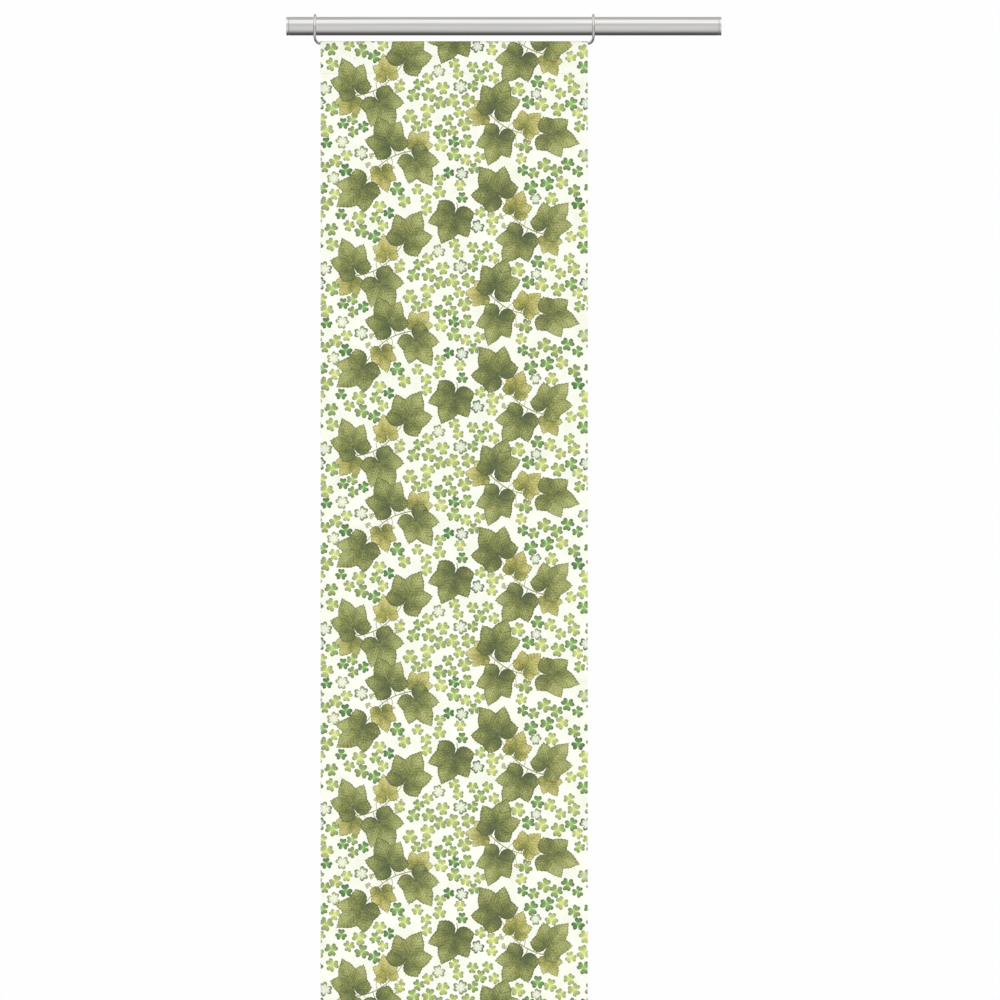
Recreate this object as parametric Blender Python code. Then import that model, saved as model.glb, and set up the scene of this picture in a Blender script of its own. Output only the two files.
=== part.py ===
"""A printed panel curtain, hung by a bent wire hanger from a round steel rod.

The frame is in metres, +Z up. The origin lies on the rod's axis, above the middle of the panel.
+X runs along the rod to the right as seen from the room, and +Y points away from the room,
so the printed face of the cloth looks along -Y.
"""

import math

import bmesh
import bpy
from mathutils import Vector

# The cloth: a straight panel with an open channel sewn across its top and a turned-up hem.
PANEL_WIDTH = 0.430
PANEL_LENGTH = 2.400
CLOTH_THICKNESS = 0.001
LAYER_GAP = 0.0003
CHANNEL_DEPTH = 0.050
HEM_DEPTH = 0.040
SEAM_WIDTH = 0.004
SEAM_INSET = 0.001

# The rod: a thin steel tube with a flat aluminium cap plugged into each end.
ROD_DIAMETER = 0.030
ROD_WALL = 0.0012
ROD_LEFT = -0.270
ROD_RIGHT = 0.430
CAP_THICKNESS = 0.004
CAP_CHAMFER = 0.0006
PLUG_LENGTH = 0.018
ROUND_STEPS = 64

# The hanger: one wire, straight inside the channel, with a hook over the rod at each end.
WIRE_DIAMETER = 0.0045
WIRE_DROP = 0.0276
HOOK_OUTSET = 0.009
BEND_OUTSET = 0.001
BEND_RISE = 0.0095
HOOK_BACK_ANGLE = math.radians(75)
ARC_STEP = math.radians(6)
BEND_STEPS = 14
HOOK_END_HANDLE = 0.007
STRAIGHT_END_HANDLE = 0.004

SEAT_GAP = 0.0003
FOLD_STEPS = 12

ROD_RADIUS = ROD_DIAMETER / 2
WIRE_RADIUS = WIRE_DIAMETER / 2
HALF_WIDTH = PANEL_WIDTH / 2

# The wire lies on top of the rod, and its hooks reach down to the height of its straight part.
HOOK_TOP = ROD_RADIUS + SEAT_GAP + WIRE_RADIUS
HOOK_RADIUS = (HOOK_TOP + WIRE_DROP) / 2
HOOK_CENTRE = HOOK_TOP - HOOK_RADIUS
HOOK_PLANE = HALF_WIDTH + HOOK_OUTSET

# The top fold of the cloth lies round the wire, so the wire sets the height of the top edge.
FOLD_RADIUS = WIRE_RADIUS + SEAT_GAP + CLOTH_THICKNESS / 2
TOP_EDGE = -WIRE_DROP + FOLD_RADIUS + CLOTH_THICKNESS / 2
BOTTOM_EDGE = TOP_EDGE - PANEL_LENGTH
CHANNEL_SEAM = TOP_EDGE - CHANNEL_DEPTH
HEM_SEAM = BOTTOM_EDGE + HEM_DEPTH


def clear_scene():
    for obj in list(bpy.data.objects):
        bpy.data.objects.remove(obj)


def material(name, colour, roughness, metallic):
    made = bpy.data.materials.new(name)
    made.use_nodes = True
    shader = made.node_tree.nodes["Principled BSDF"]
    shader.inputs["Base Color"].default_value = (*colour, 1)
    shader.inputs["Roughness"].default_value = roughness
    shader.inputs["Metallic"].default_value = metallic
    return made


def mesh_object(name, bm, finish):
    """The bmesh as a named object in the scene, with its faces pointing out."""
    bmesh.ops.recalc_face_normals(bm, faces=bm.faces)
    mesh = bpy.data.meshes.new(name)
    bm.to_mesh(mesh)
    bm.free()
    mesh.materials.append(finish)
    obj = bpy.data.objects.new(name, mesh)
    bpy.context.scene.collection.objects.link(obj)
    return obj


def turned(name, profile, finish):
    """A body turned about the X axis from a closed profile of (along, radius) points."""
    bm = bmesh.new()
    points = [bm.verts.new((along, 0, radius)) for along, radius in profile]
    edges = [bm.edges.new(pair) for pair in zip(points, points[1:] + points[:1])]
    bmesh.ops.spin(
        bm,
        geom=points + edges,
        cent=(0, 0, 0),
        axis=(1, 0, 0),
        angle=math.tau,
        steps=ROUND_STEPS,
        use_merge=True,
    )
    bmesh.ops.remove_doubles(bm, verts=bm.verts, dist=1e-6)
    bmesh.ops.dissolve_degenerate(bm, edges=bm.edges, dist=1e-7)
    obj = mesh_object(name, bm, finish)
    obj.data.shade_smooth()
    obj.data.set_sharp_from_angle(angle=math.radians(40))
    return obj


def rod_tube(finish):
    """The tube between the two caps, open at both ends."""
    left = ROD_LEFT + CAP_THICKNESS + SEAT_GAP
    right = ROD_RIGHT - CAP_THICKNESS - SEAT_GAP
    bore = ROD_RADIUS - ROD_WALL
    profile = [(left, bore), (left, ROD_RADIUS), (right, ROD_RADIUS), (right, bore)]
    return turned("rod_tube", profile, finish)


def rod_cap(name, face, inwards, finish):
    """A flat disc as wide as the rod, with a plug that fits the tube. It starts at face."""
    plug = ROD_RADIUS - ROD_WALL - SEAT_GAP
    outline = [
        (0, 0),
        (0, ROD_RADIUS - CAP_CHAMFER),
        (CAP_CHAMFER, ROD_RADIUS),
        (CAP_THICKNESS, ROD_RADIUS),
        (CAP_THICKNESS, plug),
        (CAP_THICKNESS + PLUG_LENGTH - CAP_CHAMFER, plug),
        (CAP_THICKNESS + PLUG_LENGTH, plug - CAP_CHAMFER),
        (CAP_THICKNESS + PLUG_LENGTH, 0),
    ]
    return turned(name, [(face + inwards * along, radius) for along, radius in outline], finish)


def hook_arc():
    """The round part of the right-hand hook, from its free end behind the rod, over the top
    and down in front, and the direction in which it ends.

    Angles are counted from the top, positive towards the room. The arc ends where the wire
    starts its bend towards the panel, a bend's rise above the straight part.
    """
    bend_height = BEND_RISE - WIRE_DROP
    front_angle = math.acos((bend_height - HOOK_CENTRE) / HOOK_RADIUS)
    steps = math.ceil((front_angle + HOOK_BACK_ANGLE) / ARC_STEP)
    points = []
    for i in range(steps + 1):
        angle = -HOOK_BACK_ANGLE + (front_angle + HOOK_BACK_ANGLE) * i / steps
        y = -HOOK_RADIUS * math.sin(angle)
        z = HOOK_CENTRE + HOOK_RADIUS * math.cos(angle)
        points.append(Vector((HOOK_PLANE, y, z)))
    heading = Vector((0, -math.cos(front_angle), -math.sin(front_angle)))
    return points, heading


def bezier(start, start_handle, end_handle, end, steps):
    """Points of one cubic Bezier curve, without its start."""
    points = []
    for i in range(1, steps + 1):
        t = i / steps
        s = 1 - t
        point = start * s**3 + start_handle * 3 * s * s * t
        points.append(point + end_handle * 3 * s * t * t + end * t**3)
    return points


def hanger_route():
    """The centreline of the hanger, from the free end of its left hook to that of its right."""
    right, heading = hook_arc()
    straight_end = Vector((HALF_WIDTH + BEND_OUTSET, 0, -WIRE_DROP))
    hook_handle = right[-1] + heading * HOOK_END_HANDLE
    straight_handle = straight_end + Vector((STRAIGHT_END_HANDLE, 0, 0))
    right += bezier(right[-1], hook_handle, straight_handle, straight_end, BEND_STEPS)
    left = [Vector((-point.x, point.y, point.z)) for point in right]
    return left + right[::-1]


def wire_hanger(finish):
    """The hanger as a round wire along its centreline."""
    curve = bpy.data.curves.new("wire_hanger", "CURVE")
    curve.dimensions = "3D"
    curve.bevel_depth = WIRE_RADIUS
    curve.bevel_resolution = 4
    curve.use_fill_caps = True
    route = hanger_route()
    spline = curve.splines.new("POLY")
    spline.points.add(len(route) - 1)
    for target, point in zip(spline.points, route):
        target.co = (*point, 1)
    curve.materials.append(finish)
    obj = bpy.data.objects.new("wire_hanger", curve)
    bpy.context.scene.collection.objects.link(obj)
    return obj


def tangent_angle(foot_y, foot_z):
    """Where a straight layer that starts at the foot touches the top fold of the cloth.

    The angle is counted from the top of the fold, positive towards the side on which the
    layer lies, and foot_y is positive on that side too.
    """
    depth = -WIRE_DROP - foot_z
    distance = math.hypot(foot_y, depth)
    return math.pi / 2 + math.asin(FOLD_RADIUS / distance) - math.atan2(foot_y, depth)


def cloth_line():
    """The middle of the cloth as (y, z) points: up the channel's flap behind, over the top
    fold, down the panel, round the lower edge and up the hem's flap behind."""
    flap = CLOTH_THICKNESS + LAYER_GAP
    back = tangent_angle(flap, CHANNEL_SEAM)
    front = tangent_angle(0, CHANNEL_SEAM)
    line = [(flap, CHANNEL_SEAM - SEAM_WIDTH), (flap, CHANNEL_SEAM)]
    for i in range(FOLD_STEPS + 1):
        angle = back - (back + front) * i / FOLD_STEPS
        line.append((FOLD_RADIUS * math.sin(angle), -WIRE_DROP + FOLD_RADIUS * math.cos(angle)))
    line.append((0, CHANNEL_SEAM))
    hem_radius = flap / 2
    hem_centre = BOTTOM_EDGE + hem_radius + CLOTH_THICKNESS / 2
    for i in range(FOLD_STEPS + 1):
        angle = math.pi * i / FOLD_STEPS
        y = hem_radius - hem_radius * math.cos(angle)
        line.append((y, hem_centre - hem_radius * math.sin(angle)))
    line.append((flap, HEM_SEAM))
    return line


def seam(cloth, top):
    """Joins the flap behind the panel to it with a band of sewing below that height."""
    bpy.ops.mesh.primitive_cube_add(size=1)
    band = bpy.context.object
    band.name = "seam_band"
    band.scale = (PANEL_WIDTH - 2 * SEAM_INSET, CLOTH_THICKNESS + LAYER_GAP, SEAM_WIDTH)
    band.location = (0, (CLOTH_THICKNESS + LAYER_GAP) / 2, top - SEAM_WIDTH / 2)
    band.display_type = "WIRE"
    band.hide_render = True
    union = cloth.modifiers.new("Seam", "BOOLEAN")
    union.operation = "UNION"
    union.solver = "EXACT"
    union.object = band


def panel_cloth(finish):
    """The cloth: a strip along its line, as wide as the panel, made thick and sewn."""
    bm = bmesh.new()
    points = [bm.verts.new((-HALF_WIDTH, y, z)) for y, z in cloth_line()]
    edges = [bm.edges.new(pair) for pair in zip(points, points[1:])]
    drawn = bmesh.ops.extrude_edge_only(bm, edges=edges)
    far = [item for item in drawn["geom"] if isinstance(item, bmesh.types.BMVert)]
    bmesh.ops.translate(bm, verts=far, vec=(PANEL_WIDTH, 0, 0))
    cloth = mesh_object("panel_cloth", bm, finish)
    solidify = cloth.modifiers.new("Thickness", "SOLIDIFY")
    solidify.thickness = CLOTH_THICKNESS
    solidify.offset = 0
    solidify.use_even_offset = True
    seam(cloth, CHANNEL_SEAM)
    seam(cloth, HEM_SEAM)
    return cloth


def main():
    clear_scene()
    steel = material("brushed_steel", (0.62, 0.62, 0.60), 0.28, 1)
    aluminium = material("turned_aluminium", (0.73, 0.74, 0.75), 0.28, 1)
    wire = material("steel_wire", (0.55, 0.55, 0.53), 0.30, 1)
    cotton = material("printed_cotton", (0.62, 0.69, 0.46), 0.85, 0)
    rod_tube(steel)
    rod_cap("rod_cap_left", ROD_LEFT, 1, aluminium)
    rod_cap("rod_cap_right", ROD_RIGHT, -1, aluminium)
    wire_hanger(wire)
    panel_cloth(cotton)


main()
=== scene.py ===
"""The looks of a printed panel curtain on a steel rod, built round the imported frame.

Everything is in metres and +Z is up. The printed face of the cloth looks along -Y.
"""

import bisect
import math
import random
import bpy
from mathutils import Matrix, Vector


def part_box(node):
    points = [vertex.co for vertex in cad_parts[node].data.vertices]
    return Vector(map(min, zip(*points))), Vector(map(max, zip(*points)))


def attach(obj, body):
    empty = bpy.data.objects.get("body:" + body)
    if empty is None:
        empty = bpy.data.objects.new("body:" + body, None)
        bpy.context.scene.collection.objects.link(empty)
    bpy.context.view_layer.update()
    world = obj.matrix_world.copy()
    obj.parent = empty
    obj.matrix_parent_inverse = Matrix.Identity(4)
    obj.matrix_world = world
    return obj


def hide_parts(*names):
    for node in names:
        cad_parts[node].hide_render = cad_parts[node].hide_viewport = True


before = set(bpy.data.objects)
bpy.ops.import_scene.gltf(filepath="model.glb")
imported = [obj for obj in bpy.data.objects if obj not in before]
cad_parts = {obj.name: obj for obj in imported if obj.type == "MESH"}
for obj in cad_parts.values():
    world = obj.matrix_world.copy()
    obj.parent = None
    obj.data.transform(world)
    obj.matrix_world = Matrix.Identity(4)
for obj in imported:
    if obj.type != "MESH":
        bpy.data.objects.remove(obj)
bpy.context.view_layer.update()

from copy import copy
from itertools import accumulate

import bmesh
import bpy
from bpy.props import FloatProperty, FloatVectorProperty, IntProperty, PointerProperty
from mathutils import Vector
from mathutils.geometry import delaunay_2d_cdt

bl_info = {
    "name": "Panel curtain",
    "version": (1, 0, 0),
    "blender": (4, 5, 0),
    "location": "3D View > Sidebar > Curtain",
    "description": "Builds a printed panel curtain on its rod, with its materials and stage",
    "category": "Add Mesh",
}

BODY = "root"
MM = 0.001

# The boxes of the CAD pieces, which the visible pieces are built in.
CLOTH_LOW, CLOTH_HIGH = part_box("panel_cloth")
_, WIRE_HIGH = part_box("wire_hanger")
TUBE_LOW, TUBE_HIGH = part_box("rod_tube")
CAP_BOXES = {name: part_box(name) for name in ("rod_cap_left", "rod_cap_right")}

HALF_WIDTH = CLOTH_HIGH.x
PANEL_WIDTH = 2 * HALF_WIDTH
ROD_RADIUS = TUBE_HIGH.z

# Sizes that the boxes don't give.
CAD_CLOTH_THICKNESS = 1.0 * MM
SEAT_GAP = 0.3 * MM
CHANNEL_DEPTH = 50 * MM
HEM_DEPTH = 40 * MM
SEAM_WIDTH = 4 * MM
LAYER_GAP = 0.05 * MM
FOLD_STEPS = 12

ROD_WALL = 1.2 * MM
CAP_THICKNESS = 4 * MM

WIRE_RADIUS = 2.25 * MM
HOOK_BACK_ANGLE = math.radians(75)
BEND_OUTSET = 1 * MM
BEND_RISE = 9.5 * MM
HOOK_END_HANDLE = 7 * MM
STRAIGHT_END_HANDLE = 4 * MM

# How finely the round pieces are made.
ROUND_SIDES = 128
WIRE_ROUNDNESS = 10
ARC_STEPS = 60
BEND_STEPS = 24
END_STEPS = 6
END_START_ANGLE = math.radians(8)
BREAK_STEPS = 2
SHOULDER_STEPS = 3
STITCH_SIDES = 8
STITCH_RINGS = 6
SMOOTH_ANGLE = math.radians(35)

# How nearly a face has to look along a direction to count as looking that way.
FACING = 0.99

# Small touches that the solids leave out.
EDGE_BREAK = 0.25 * MM
SHOULDER_BREAK = 0.7 * MM
FACE_RING = 1.6 * MM
FACE_DISH = 0.3 * MM
THREAD_RADIUS = 0.14 * MM
THREAD_FLATNESS = 0.8
THREAD_SINK = 0.05 * MM
STITCH_LENGTH = 2.5 * MM
STITCH_PITCH = 3.0 * MM
STITCH_MARGIN = 3.0 * MM

# The height of the middle of the wire's straight part, which carries the cloth.
WIRE_Z = CLOTH_HIGH.z - CAD_CLOTH_THICKNESS - SEAT_GAP - WIRE_RADIUS


def srgb(code):
    """A hex colour as linear red, green and blue."""
    channels = [int(code[i : i + 2], 16) / 255 for i in (1, 3, 5)]
    return tuple(c / 12.92 if c <= 0.04045 else ((c + 0.055) / 1.055) ** 2.4 for c in channels)


# ---------------------------------------------------------------- settings


class ClothSettings(bpy.types.PropertyGroup):
    thickness: FloatProperty(
        name="Thickness",
        description="Thickness of the woven cotton",
        default=0.7 * MM,
        unit="LENGTH",
    )
    wave: FloatProperty(
        name="Wave",
        description="How far the foot of the panel swings out of its plane",
        default=1.5 * MM,
        unit="LENGTH",
    )
    thread_spacing: FloatProperty(
        name="Thread spacing",
        description="Distance from one thread to the next, drawn twice as coarse as the real 0.45 mm",
        default=0.9 * MM,
        unit="LENGTH",
    )
    ground: FloatVectorProperty(
        name="Ground",
        description="Colour of the bleached cotton",
        default=srgb("#fafcf2"),
        subtype="COLOR",
    )


class PrintSettings(bpy.types.PropertyGroup):
    repeat_width: FloatProperty(
        name="Repeat width",
        description="Width of one repeat of the print",
        default=430 * MM,
        unit="LENGTH",
    )
    repeat_height: FloatProperty(
        name="Repeat height",
        description="Height of one repeat of the print",
        default=290 * MM,
        unit="LENGTH",
    )
    tooth: FloatProperty(
        name="Tooth",
        description="How far each tooth of a leaf's margin stands out",
        default=0.9 * MM,
        unit="LENGTH",
    )
    clover_tries: IntProperty(
        name="Clover tries",
        description="How many places are tried for a clover in one repeat",
        default=6000,
    )
    leaf_shade: FloatVectorProperty(
        name="Leaf shade",
        description="Darkest green of the large leaves",
        default=srgb("#4b5739"),
        subtype="COLOR",
    )
    leaf_light: FloatVectorProperty(
        name="Leaf light",
        description="Lightest green of the large leaves",
        default=srgb("#838c4c"),
        subtype="COLOR",
    )


class RodSettings(bpy.types.PropertyGroup):
    steel: FloatVectorProperty(
        name="Steel",
        description="Colour of the brushed stainless steel of the tube",
        default=srgb("#e3e2df"),
        subtype="COLOR",
    )
    aluminium: FloatVectorProperty(
        name="Aluminium",
        description="Colour of the turned aluminium of the caps",
        default=srgb("#dfe0e1"),
        subtype="COLOR",
    )
    roughness: FloatProperty(
        name="Roughness",
        description="Roughness of the tube and its caps",
        default=0.1,
        min=0,
        max=1,
    )


class StageSettings(bpy.types.PropertyGroup):
    floor_size: FloatProperty(
        name="Floor size",
        description="Side of the square floor",
        default=26.0,
        unit="LENGTH",
    )
    floor_gap: FloatProperty(
        name="Floor gap",
        description="Height of the panel's hem above the floor",
        default=0.03,
        unit="LENGTH",
    )
    camera_distance: FloatProperty(
        name="Camera distance",
        description="Distance from the camera to the panel",
        default=12.5,
        unit="LENGTH",
    )
    camera_right: FloatProperty(
        name="Camera right",
        description="How far the camera stands to the right of the middle of the panel",
        default=0.0738,
        unit="LENGTH",
    )
    camera_drop: FloatProperty(
        name="Camera drop",
        description="How far the camera stands below the rod",
        default=0.7628,
        unit="LENGTH",
    )
    frame_width: FloatProperty(
        name="Frame width",
        description="Width of what the camera sees at the panel",
        default=1.61,
        unit="LENGTH",
    )


class CurtainSettings(bpy.types.PropertyGroup):
    cloth: PointerProperty(type=ClothSettings)
    pattern: PointerProperty(type=PrintSettings)
    rod: PointerProperty(type=RodSettings)
    stage: PointerProperty(type=StageSettings)


# ---------------------------------------------------------------- shared helpers


def add(tree, kind, inputs=(), out=0, stops=(), curve=(), handles="VECTOR", **settings):
    """Adds a shader node with its settings and inputs, and returns one of its outputs.

    inputs is a list in the order of the sockets, or a dict by number or name. Each one is a
    value, or the output of another node. stops are a colour ramp's (place, colour) pairs, with
    each colour a hex code or linear values from the settings. curve is a float curve's (x, y)
    points, and handles the kind of handles that they get.
    """
    made = tree.nodes.new("ShaderNode" + kind)
    for name, value in settings.items():
        setattr(made, name, value)
    for i, (place, colour) in enumerate(stops):
        elements = made.color_ramp.elements
        stop = elements[i] if i < len(elements) else elements.new(place)
        linear = srgb(colour) if isinstance(colour, str) else colour
        stop.position = place
        stop.color = (*linear, 1)
    for i, (x, y) in enumerate(curve):
        points = made.mapping.curves[0].points
        point = points[i] if i < len(points) else points.new(x, y)
        point.location = (x, y)
        point.handle_type = handles
    if curve:
        made.mapping.update()
    for socket, value in inputs.items() if isinstance(inputs, dict) else enumerate(inputs):
        if isinstance(value, bpy.types.NodeSocket):
            tree.links.new(value, made.inputs[socket])
        else:
            made.inputs[socket].default_value = value
    return made.outputs[out] if made.outputs else None


def new_material(name):
    """A new material, and its node tree with nothing in it yet."""
    made = bpy.data.materials.new(name)
    made.use_nodes = True
    made.node_tree.nodes.clear()
    return made, made.node_tree


def clear_selection():
    """Leaves edit mode and deselects everything."""
    if bpy.context.object and bpy.context.object.mode != "OBJECT":
        bpy.ops.object.mode_set(mode="OBJECT")
    bpy.ops.object.select_all(action="DESELECT")


def choose(piece):
    """Makes the piece the only selected one, and the active one."""
    clear_selection()
    piece.select_set(True)
    bpy.context.view_layer.objects.active = piece


def apply_modifier(piece, kind, **settings):
    """Adds a modifier with its settings and applies it at once."""
    modifier = piece.modifiers.new(kind.title(), kind)
    for name, value in settings.items():
        setattr(modifier, name, value)
    choose(piece)
    bpy.ops.object.modifier_apply(modifier=modifier.name)


def break_edges(piece):
    """Takes the sharpness off the piece's edges."""
    apply_modifier(piece, "BEVEL", width=EDGE_BREAK, segments=BREAK_STEPS, limit_method="ANGLE")


def select_facing(piece, direction):
    """In edit mode, selects just the faces that look along the direction."""
    bpy.ops.mesh.select_all(action="DESELECT")
    edit = bmesh.from_edit_mesh(piece.data)
    for face in edit.faces:
        if face.normal.dot(direction) > FACING:
            face.select_set(True)
    edit.select_flush(True)
    bmesh.update_edit_mesh(piece.data)


def hide_from_mirrors(thing):
    """Keeps the object out of reflections, so that the metal mirrors only the studio."""
    thing.visible_glossy = False


def finish_piece(piece, name, nodes, materials, smooth_angle=SMOOTH_ANGLE):
    """Names a finished piece, puts its place into its mesh, gives it its shading and its
    materials and ties it to the frame."""
    choose(piece)
    bpy.ops.object.transform_apply(location=True, rotation=True, scale=True)
    bpy.ops.object.shade_smooth_by_angle(angle=smooth_angle)
    piece.name = name
    piece.data.name = name
    for material in materials:
        piece.data.materials.append(material)
    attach(piece, BODY)
    if nodes:
        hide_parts(*nodes)


# ---------------------------------------------------------------- the cloth's path


def distances_along(points):
    """The distance of each point from the first one, along the line of points."""
    return list(accumulate(((b - a).length for a, b in zip(points, points[1:])), initial=0.0))


def point_along(points, distances, goal):
    """The point at a distance along the line of points."""
    i = min(max(bisect.bisect_right(distances, goal) - 1, 0), len(points) - 2)
    share = (goal - distances[i]) / (distances[i + 1] - distances[i])
    return points[i].lerp(points[i + 1], share)


def tangent_angle(foot_y, foot_z, radius):
    """Where a straight layer that starts at the foot touches the fold round the wire.

    The angle is counted from the top of the fold, positive towards the side on which the
    layer lies, and foot_y is positive on that side too.
    """
    depth = WIRE_Z - foot_z
    distance = math.hypot(foot_y, depth)
    return math.pi / 2 + math.asin(radius / distance) - math.atan2(foot_y, depth)


class ClothPath:
    """The middle line of the cloth in section, from the end of the hem's flap behind, round the
    foot, up the front, over the wire and down to the end of the channel's flap behind."""

    def __init__(self, thickness):
        flap = thickness + LAYER_GAP
        fold = WIRE_RADIUS + SEAT_GAP + CAD_CLOTH_THICKNESS / 2
        self.foot = CLOTH_LOW.z + thickness / 2
        self.channel_seam = CLOTH_HIGH.z - CHANNEL_DEPTH
        self.hem_seam = CLOTH_LOW.z + HEM_DEPTH
        points = [(flap, self.hem_seam)]
        for i in range(FOLD_STEPS + 1):
            angle = math.pi * i / FOLD_STEPS
            y = flap / 2 + flap / 2 * math.cos(angle)
            points.append((y, self.foot + flap / 2 - flap / 2 * math.sin(angle)))
        points.append((0, self.channel_seam))
        front = tangent_angle(0, self.channel_seam, fold)
        back = tangent_angle(flap, self.channel_seam, fold)
        for i in range(FOLD_STEPS + 1):
            angle = -front + (front + back) * i / FOLD_STEPS
            points.append((fold * math.sin(angle), WIRE_Z + fold * math.cos(angle)))
        points += [(flap, self.channel_seam), (flap, self.channel_seam - SEAM_WIDTH)]
        self.points = [Vector(point) for point in points]
        self.stations = distances_along(self.points)
        self.length = self.stations[-1]

    def at(self, v):
        """The (y, z) place at the distance v along the cloth."""
        return point_along(self.points, self.stations, v)


def swing(x, z, path, wave):
    """How far the hanging cloth stands away from the room there: nothing at the channel, and
    one shallow wave with slightly curled edges at the foot."""
    drop = max(0, path.channel_seam - z) / (path.channel_seam - path.foot)
    across = x / HALF_WIDTH

    # A broad wave that runs slightly aslant, a narrow one against it, and the curled edges.
    broad = math.sin(2.6 * across + 0.7 + 1.1 * drop)
    narrow = 0.35 * math.sin(5.3 * across - 0.8)
    curl = 0.9 * across**6
    return wave * (drop**0.7 * (broad - narrow) + drop**0.5 * curl)


# ---------------------------------------------------------------- the print

# The margin of one half of a leaf: the angle from its midrib, at the place where the stalk
# joins the blade, and the reach there as a share of the length of the midrib.
LEAF_MARGIN = (
    # angle, reach
    (0, 1.04),
    (2, 0.98),
    (5, 0.92),
    (10, 0.86),
    (18, 0.79),
    (25, 0.71),
    (30, 0.65),
    (34, 0.63),
    (40, 0.69),
    (46, 0.77),
    (51, 0.83),
    (53, 0.89),
    (55, 0.84),
    (61, 0.78),
    (69, 0.71),
    (77, 0.64),
    (86, 0.58),
    (95, 0.60),
    (105, 0.63),
    (111, 0.65),
    (113, 0.69),
    (116, 0.64),
    (123, 0.59),
    (132, 0.54),
    (145, 0.46),
    (158, 0.36),
    (168, 0.24),
    (180, 0.05),
)
TOOTH_SPACING = 5.6 * MM
LOBE_AXES = (0, 53, 113)
LOBE_LIMITS = (34, 86)

# One leaflet of a clover, in the same way, from the clover's middle. The material draws it, on
# a patch of the cloth with a few corners that lie just outside it.
LEAFLET_MARGIN = (
    # angle, reach
    (0, 0.82),
    (5, 0.88),
    (13, 0.97),
    (25, 1.02),
    (37, 0.92),
    (48, 0.70),
    (56, 0.40),
    (60, 0.10),
)
LEAFLET_PATCH = (
    # angle, reach
    (28, 1.10),
    (52, 0.80),
    (60, 0.12),
)
LEAFLETS = 3

# A trail of leaves and buds along its stem, in millimetres and degrees. The stem bows to one
# side and ends a little to the other. side is 1 to the right of the stem and -1 to the left,
# lean is a leaf's angle from the stem, tone runs from green at 0 to straw yellow at 1, and out
# is how far a twig with buds stands out.
TRAIL_LENGTH = 104
TRAIL_BOW = 14
TRAIL_DRIFT = -6
TRAIL_STEPS = 8
TRAIL_LEAVES = (
    # along, side, stalk, length, lean, tone
    (66, -1, 12, 33, 62, 0.95),
    (8, 1, 10, 30, 140, 0.80),
    (12, -1, 16, 49, 108, 0.10),
    (36, 1, 20, 48, 82, 0.05),
    (104, 1, 4, 51, 4, 0.15),
)
TRAIL_BUDS = (
    # along, side, out
    (76, 1, 12),
    (20, 1, 20),
    (52, -1, 22),
    (44, -1, 14),
    (60, 1, 18),
    (26, -1, 12),
)

# Where the trails start in one repeat, how they are turned and which way they curve.
TRAILS = (
    # x, y, turn, hand
    (48, 30, 60, 1),
    (157, 235, -120, 1),
    (369, 96, -55, -1),
    (266, 8, 115, 1),
)
SINGLE_LEAVES = (
    # x, y, length, turn, tone
    (215, 130, 50, 200, 0.1),
)

# Widths at the two ends, in millimetres.
STEM_WIDTHS = (2.0, 1.1)
STALK_WIDTHS = (1.5, 1.1)
TWIG_WIDTHS = (1.1, 0.8)

# How high a stalk or twig is bowed, as a share of its length, and its number of steps.
STALK_BOW = 0.1
TWIG_BOW = 0.12
BOW_STEPS = 4
SINGLE_STALK_BOW = 0.15
SINGLE_STALK_STEPS = 5

# Where the stalk of a single leaf ends, in millimetres from the leaf's own base.
SINGLE_STALK_END = (3, -20)

# How far one leaf may differ from the next, in bend, in breadth and in degrees.
LEAF_BENDS = (-0.16, 0.16)
LEAF_BREADTHS = (0.86, 1.04)
LEAF_SWAY = (-8, 8)

# A twig rises by a share of how far it stands out, and ends in buds, at these bearings from
# its own. Their radii and their distance from its tip are in millimetres.
TWIG_RISE = 0.5
TWIG_BEARING = 60
BUD_RADII = (2.1, 2.8)
BUD_BEARINGS = (-80, 0, 80)
BUD_OUT = 3
BUD_SIDES = 8

# The radii of clovers, in millimetres, and their tones, from pale at 0 to dark at 1. Clovers
# lie apart by a share of their two radii, and from the leaves by a share of their own.
CLOVER_RADII = (9.5, 11, 12)
CLOVER_TONES = (0.0, 0.0, 0.15, 0.3, 1.0, 0.85, 0.5)
CLOVER_SPACING = 0.88
LEAF_SPACING = 0.82

# A leaf reaches no further than this from its base, in lengths of its midrib.
LEAF_REACH = 1.15

PRINT_SEED = 41
INKS = ("ground", "leaf", "clover", "stem", "bud")

# The outlines of the print are cut into the cloth to this tolerance, in millimetres.
CUT_TOLERANCE = 1e-4


def margin_reach(margin, angle):
    """The reach of a margin at an angle in degrees from its middle line."""
    angle = abs(angle)
    for (a, low), (b, high) in zip(margin, margin[1:]):
        if angle <= b:
            return low + (high - low) * (angle - a) / (b - a)
    return margin[-1][1]


def polar(angle, reach):
    """A point at an angle in degrees from the +Y axis, towards +X."""
    turn = math.radians(angle)
    return Vector((reach * math.sin(turn), reach * math.cos(turn)))


def turned(point, degrees):
    """A 2D point turned to the right by that many degrees."""
    turn = math.radians(degrees)
    return Vector(
        (
            point.x * math.cos(turn) + point.y * math.sin(turn),
            point.y * math.cos(turn) - point.x * math.sin(turn),
        )
    )


def evenly(points, step):
    """Points at equal steps along a line of points, its two ends included."""
    distances = distances_along(points)
    length = distances[-1]
    count = max(2, round(length / step))
    return [point_along(points, distances, length * i / count) for i in range(count + 1)]


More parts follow.
